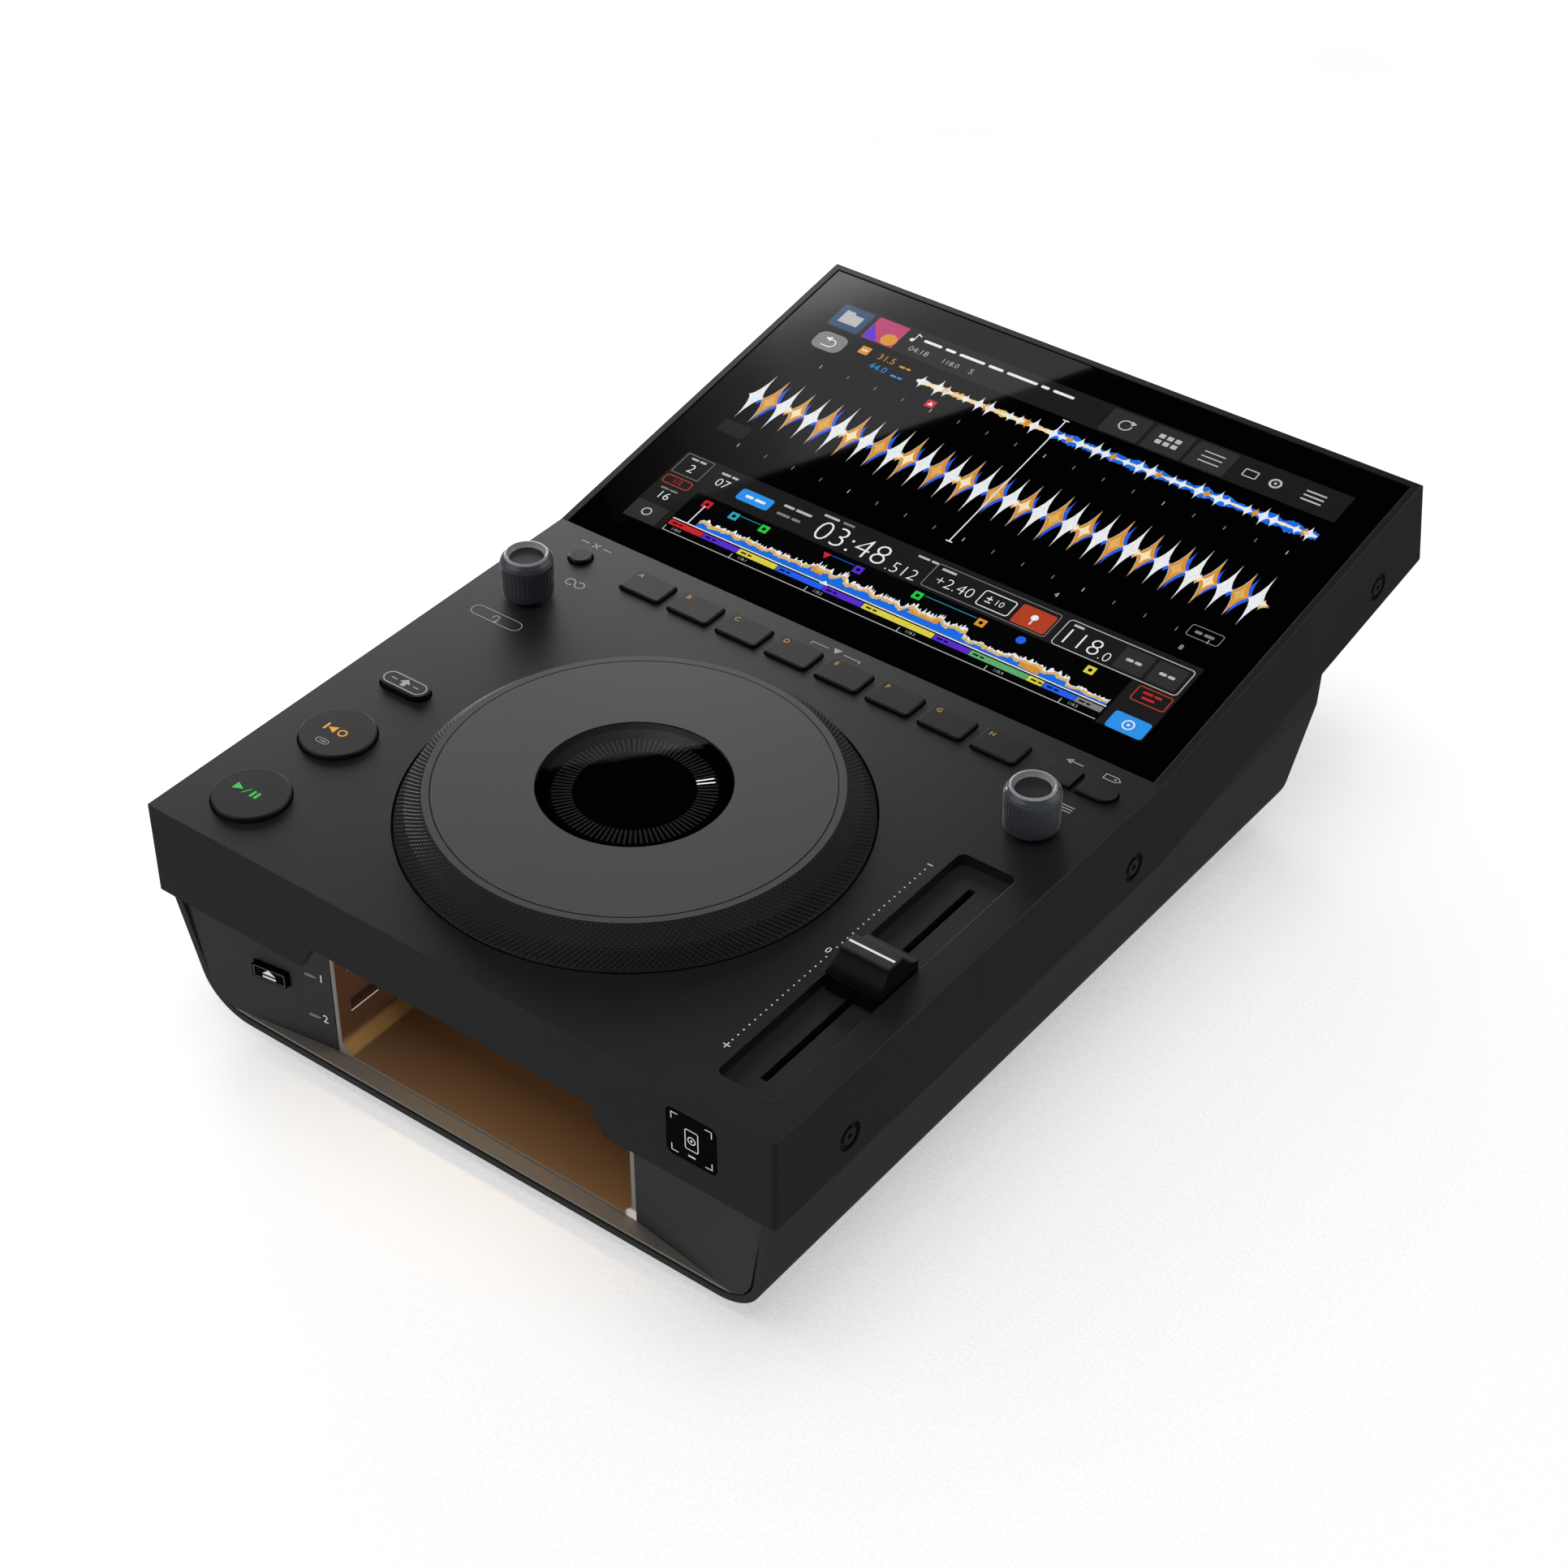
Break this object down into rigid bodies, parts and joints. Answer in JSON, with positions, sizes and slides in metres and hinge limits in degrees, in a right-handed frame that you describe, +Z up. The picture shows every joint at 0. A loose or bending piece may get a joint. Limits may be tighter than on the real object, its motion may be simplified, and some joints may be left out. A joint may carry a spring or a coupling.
{
  "type": "tabletop media player",
  "caption": "Tabletop media player for a disc jockey: jog wheel, tempo fader, cue pads and push knobs on a level deck, tilted touch screen, lit front bay for memory sticks, four feet.",
  "frame": {"origin": "middle of the bounding box, on the surface it stands on", "axes": "+X to the user's right across the deck, +Y from the front bay to the screen end, +Z up"},
  "size_m": [0.25, 0.3702, 0.1176],
  "materials": {
    "graphite_plastic": "fine textured satin",
    "case_plastic": "fine textured satin",
    "amber_translucent": "lit translucent",
    "lamp_white": "diffusing",
    "black_steel": "black",
    "foot_rubber": "matte",
    "black_gloss": "gloss",
    "screen_glass": "polished, black behind",
    "lens_glass": "polished, black behind",
    "lcd_black": "dark display",
    "sheet_steel": "zinc plated",
    "circuit_board": "solder mask",
    "jog_plate_metal": "fine satin",
    "ring_rubber": "satin black, knurled",
    "bearing_steel": "polished",
    "post_aluminium": "machined",
    "black_plastic": "satin",
    "key_smoke": "translucent smoke",
    "key_dark": "satin",
    "key_grey": "satin",
    "pad_silicone": "matte silicone",
    "knob_smoke": "smoked, ribbed",
    "encoder_green": "moulded"
  },
  "bodies": {
    "base": {"top_case": "graphite_plastic", "lower_case": "case_plastic", "screen_rear_cover": "case_plastic", "front_panel": "case_plastic", "usb_bay_liner": "amber_translucent", "bay_light_bar": "lamp_white", "rear_panel": "black_steel", "feet": "foot_rubber", "side_screws": "black_steel", "nfc_window": "black_gloss", "touch_glass": "screen_glass", "lcd_panel": "lcd_black", "lcd_bracket": "sheet_steel", "display_board": "circuit_board", "jog_bearing_inner": "bearing_steel", "jog_post": "post_aluminium", "jog_base_plate": "sheet_steel", "jog_display_cup": "black_gloss", "jog_display_lens": "lens_glass", "jog_display_board": "lcd_black", "jog_encoder_sensor": "black_plastic", "loop_encoder": "encoder_green", "browse_encoder": "encoder_green", "fader_body": "sheet_steel", "control_board": "circuit_board", "main_board": "circuit_board", "usb_ports": "bearing_steel", "bay_board": "circuit_board", "power_supply": "sheet_steel", "power_inlet": "black_plastic", "rear_board": "circuit_board", "lan_port": "bearing_steel", "rca_jacks": "bearing_steel"},
    "jog_wheel": {"jog_top_plate": "jog_plate_metal", "jog_knurled_ring": "ring_rubber", "jog_hub": "case_plastic", "jog_bearing_outer": "bearing_steel", "jog_encoder_disc": "sheet_steel"},
    "tempo_fader": {"fader_cap": "black_plastic", "fader_lever": "sheet_steel"},
    "play_key": {"play_button": "key_smoke"},
    "cue_key": {"cue_button": "key_smoke"},
    "shift_key": {"shift_button": "key_dark"},
    "delete_key": {"delete_button": "key_dark"},
    "pad_a_key": {"pad_a": "pad_silicone"},
    "pad_b_key": {"pad_b": "pad_silicone"},
    "pad_c_key": {"pad_c": "pad_silicone"},
    "pad_d_key": {"pad_d": "pad_silicone"},
    "pad_e_key": {"pad_e": "pad_silicone"},
    "pad_f_key": {"pad_f": "pad_silicone"},
    "pad_g_key": {"pad_g": "pad_silicone"},
    "pad_h_key": {"pad_h": "pad_silicone"},
    "back_key": {"back_button": "key_grey"},
    "tag_key": {"tag_button": "key_grey"},
    "eject_key": {"eject_button": "black_gloss"},
    "power_key": {"power_button": "black_plastic"},
    "loop_push": {"loop_plunger": "bearing_steel"},
    "loop_turn": {"loop_knob": "knob_smoke"},
    "browse_push": {"browse_plunger": "bearing_steel"},
    "browse_turn": {"browse_knob": "knob_smoke"}
  },
  "joints": [
    {"name": "jog_spin", "type": "hinge", "parent": "base", "child": "jog_wheel", "pos_m": [0, -0.09397, 0.0893], "axis": [0, 0, 1], "continuous": true},
    {"name": "tempo_slide", "type": "slide", "parent": "base", "child": "tempo_fader", "axis": [0, 1, 0], "range_m": [-0.05, 0.05]},
    {"name": "play_press", "type": "slide", "parent": "base", "child": "play_key", "axis": [0, 0, -1], "range_m": [0, 0.001], "stiffness_N_per_m": 900, "springref_m": -0.001},
    {"name": "cue_press", "type": "slide", "parent": "base", "child": "cue_key", "axis": [0, 0, -1], "range_m": [0, 0.001], "stiffness_N_per_m": 900, "springref_m": -0.001},
    {"name": "shift_press", "type": "slide", "parent": "base", "child": "shift_key", "axis": [0, 0, -1], "range_m": [0, 0.001], "stiffness_N_per_m": 700, "springref_m": -0.001},
    {"name": "delete_press", "type": "slide", "parent": "base", "child": "delete_key", "axis": [0, 0, -1], "range_m": [0, 0.001], "stiffness_N_per_m": 700, "springref_m": -0.001},
    {"name": "pad_a_press", "type": "slide", "parent": "base", "child": "pad_a_key", "axis": [0, 0, -1], "range_m": [0, 0.001], "stiffness_N_per_m": 700, "springref_m": -0.001},
    {"name": "pad_b_press", "type": "slide", "parent": "base", "child": "pad_b_key", "axis": [0, 0, -1], "range_m": [0, 0.001], "stiffness_N_per_m": 700, "springref_m": -0.001},
    {"name": "pad_c_press", "type": "slide", "parent": "base", "child": "pad_c_key", "axis": [0, 0, -1], "range_m": [0, 0.001], "stiffness_N_per_m": 700, "springref_m": -0.001},
    {"name": "pad_d_press", "type": "slide", "parent": "base", "child": "pad_d_key", "axis": [0, 0, -1], "range_m": [0, 0.001], "stiffness_N_per_m": 700, "springref_m": -0.001},
    {"name": "pad_e_press", "type": "slide", "parent": "base", "child": "pad_e_key", "axis": [0, 0, -1], "range_m": [0, 0.001], "stiffness_N_per_m": 700, "springref_m": -0.001},
    {"name": "pad_f_press", "type": "slide", "parent": "base", "child": "pad_f_key", "axis": [0, 0, -1], "range_m": [0, 0.001], "stiffness_N_per_m": 700, "springref_m": -0.001},
    {"name": "pad_g_press", "type": "slide", "parent": "base", "child": "pad_g_key", "axis": [0, 0, -1], "range_m": [0, 0.001], "stiffness_N_per_m": 700, "springref_m": -0.001},
    {"name": "pad_h_press", "type": "slide", "parent": "base", "child": "pad_h_key", "axis": [0, 0, -1], "range_m": [0, 0.001], "stiffness_N_per_m": 700, "springref_m": -0.001},
    {"name": "back_press", "type": "slide", "parent": "base", "child": "back_key", "axis": [0, 0, -1], "range_m": [0, 0.001], "stiffness_N_per_m": 700, "springref_m": -0.001},
    {"name": "tag_press", "type": "slide", "parent": "base", "child": "tag_key", "axis": [0, 0, -1], "range_m": [0, 0.001], "stiffness_N_per_m": 700, "springref_m": -0.001},
    {"name": "eject_press", "type": "slide", "parent": "base", "child": "eject_key", "axis": [-0.1366, 0.9906, 0], "range_m": [0, 0.001], "stiffness_N_per_m": 700, "springref_m": -0.001},
    {"name": "power_press", "type": "slide", "parent": "base", "child": "power_key", "axis": [0, -0.9945, 0.1045], "range_m": [0, 0.002], "stiffness_N_per_m": 900, "springref_m": -0.001},
    {"name": "loop_push", "type": "slide", "parent": "base", "child": "loop_push", "axis": [0, 0, -1], "range_m": [0, 0.001], "stiffness_N_per_m": 1500, "springref_m": -0.001},
    {"name": "loop_turn", "type": "hinge", "parent": "loop_push", "child": "loop_turn", "pos_m": [-0.1034, -0.02557, 0.09795], "axis": [0, 0, 1], "continuous": true},
    {"name": "browse_push", "type": "slide", "parent": "base", "child": "browse_push", "axis": [0, 0, -1], "range_m": [0, 0.001], "stiffness_N_per_m": 1500, "springref_m": -0.001},
    {"name": "browse_turn", "type": "hinge", "parent": "browse_push", "child": "browse_turn", "pos_m": [0.1034, -0.02557, 0.09795], "axis": [0, 0, 1], "continuous": true}
  ]
}
